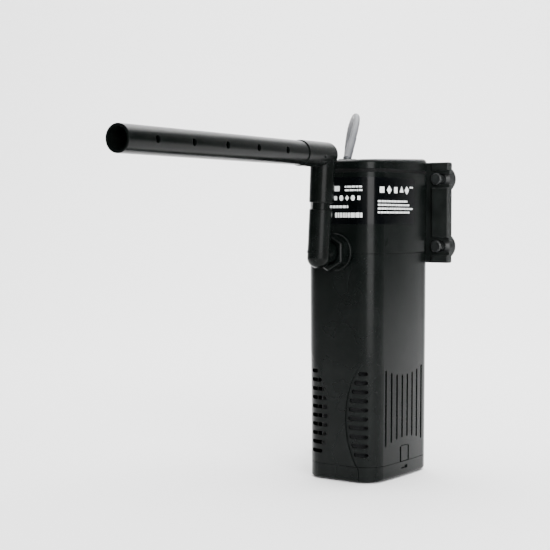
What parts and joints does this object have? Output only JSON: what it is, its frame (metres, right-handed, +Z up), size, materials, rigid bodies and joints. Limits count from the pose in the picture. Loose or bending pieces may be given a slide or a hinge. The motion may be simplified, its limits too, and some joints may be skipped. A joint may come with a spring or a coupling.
{
  "type": "internal power filter",
  "caption": "Submersible aquarium filter: pump head on a slotted sponge container, with a swivelling pipe and spray bar and a suction-cup bracket.",
  "frame": {"origin": "centre of the base, on the surface that the filter stands on", "axes": "+Z up; -Y towards the front, where the outlet pipe is; +Y towards the glass"},
  "size_m": [0.1222, 0.4437, 0.2616],
  "materials": {
    "casing_abs": "satin moulded ABS, very dark green-grey",
    "pipe_abs": "glossier moulded ABS, near black",
    "bracket_abs": "fine matt moulded ABS",
    "grille_abs": "plain moulded ABS",
    "foam": "open-cell polyurethane foam, dark blue-grey",
    "seal_rubber": "moulded nitrile rubber",
    "cup_rubber": "soft grey PVC rubber",
    "label_film": "glossy black film with plain white marks",
    "lamination_steel": "stacked electrical steel",
    "bobbin_nylon": "natural nylon",
    "copper_wire": "enamelled copper wire",
    "resin": "cast epoxy",
    "ceramic": "polished ceramic",
    "ferrite": "sintered ferrite",
    "cord_pvc": "grey PVC sheath",
    "plug_pvc": "grey moulded PVC",
    "tie_band": "black band",
    "pin_brass": "nickel-plated brass"
  },
  "bodies": {
    "cap": {"bottom_cap": "casing_abs", "filter_sponge": "foam", "sponge_core": "grille_abs"},
    "container": {"filter_container": "casing_abs"},
    "latch_right": {"tongue_right": "casing_abs"},
    "latch_left": {"tongue_left": "casing_abs"},
    "head": {"motor_housing": "casing_abs", "top_cover": "casing_abs", "cover_seal": "seal_rubber", "head_seal": "seal_rubber", "rating_label": "label_film", "stator_core": "lamination_steel", "coil_bobbin": "bobbin_nylon", "copper_coil": "copper_wire", "coil_potting": "resin", "rotor_well": "grille_abs", "rotor_shaft": "ceramic", "shaft_bushes": "seal_rubber", "pump_chamber": "grille_abs", "intake_cover": "grille_abs", "outlet_flange": "pipe_abs", "outlet_oring": "seal_rubber", "cord_gland": "casing_abs", "cord_lead": "cord_pvc", "cord_coil": "cord_pvc", "cord_tail": "cord_pvc", "coil_tie": "tie_band", "plug_body": "plug_pvc", "plug_pins": "pin_brass", "strain_relief": "cord_pvc"},
    "rotor": {"rotor_magnet": "ferrite", "impeller": "bobbin_nylon"},
    "nut": {"union_nut": "pipe_abs"},
    "elbow": {"lower_elbow": "pipe_abs", "riser_tube": "pipe_abs", "riser_oring": "seal_rubber"},
    "pipe_top": {"upper_elbow": "pipe_abs"},
    "bar": {"spray_bar": "pipe_abs"},
    "bracket": {"glass_bracket": "bracket_abs", "suction_cup_1": "cup_rubber", "suction_cup_2": "cup_rubber", "suction_cup_3": "cup_rubber", "suction_cup_4": "cup_rubber"}
  },
  "joints": [
    {"name": "container_lift", "type": "slide", "parent": "cap", "child": "container", "axis": [0, 0, 1], "range_m": [0, 0.12]},
    {"name": "latch_right_flex", "type": "hinge", "parent": "container", "child": "latch_right", "pos_m": [0.02874, 0, 0.022], "axis": [0, 1, 0], "range_deg": [0, 4], "stiffness_Nm_per_rad": 0.2},
    {"name": "latch_left_flex", "type": "hinge", "parent": "container", "child": "latch_left", "pos_m": [-0.02874, 0, 0.022], "axis": [0, -1, 0], "range_deg": [0, 4], "stiffness_Nm_per_rad": 0.2},
    {"name": "head_lift", "type": "slide", "parent": "container", "child": "head", "axis": [0, 0, 1], "range_m": [0, 0.03]},
    {"name": "rotor_spin", "type": "hinge", "parent": "head", "child": "rotor", "pos_m": [-0.0045, -0.008, 0.185], "axis": [0, 0, 1], "continuous": true},
    {"name": "nut_turn", "type": "hinge", "parent": "head", "child": "nut", "pos_m": [0, -0.0497, 0.159], "axis": [0, -1, 0], "range_deg": [0, 60]},
    {"name": "outlet_swivel", "type": "hinge", "parent": "head", "child": "elbow", "pos_m": [0, -0.056, 0.159], "axis": [0, -1, 0], "range_deg": [-50, 50]},
    {"name": "pipe_swivel", "type": "hinge", "parent": "elbow", "child": "pipe_top", "pos_m": [0.00345, -0.0645, 0.22491], "axis": [0.0523, 0, 0.9986], "range_deg": [-90, 85]},
    {"name": "bar_roll", "type": "hinge", "parent": "pipe_top", "child": "bar", "pos_m": [0.00345, -0.0645, 0.22491], "axis": [0.087, -0.9962, -0.0046], "range_deg": [-90, 90]},
    {"name": "bracket_slide", "type": "slide", "parent": "head", "child": "bracket", "axis": [0, 0, -1], "range_m": [0, 0.065]}
  ]
}
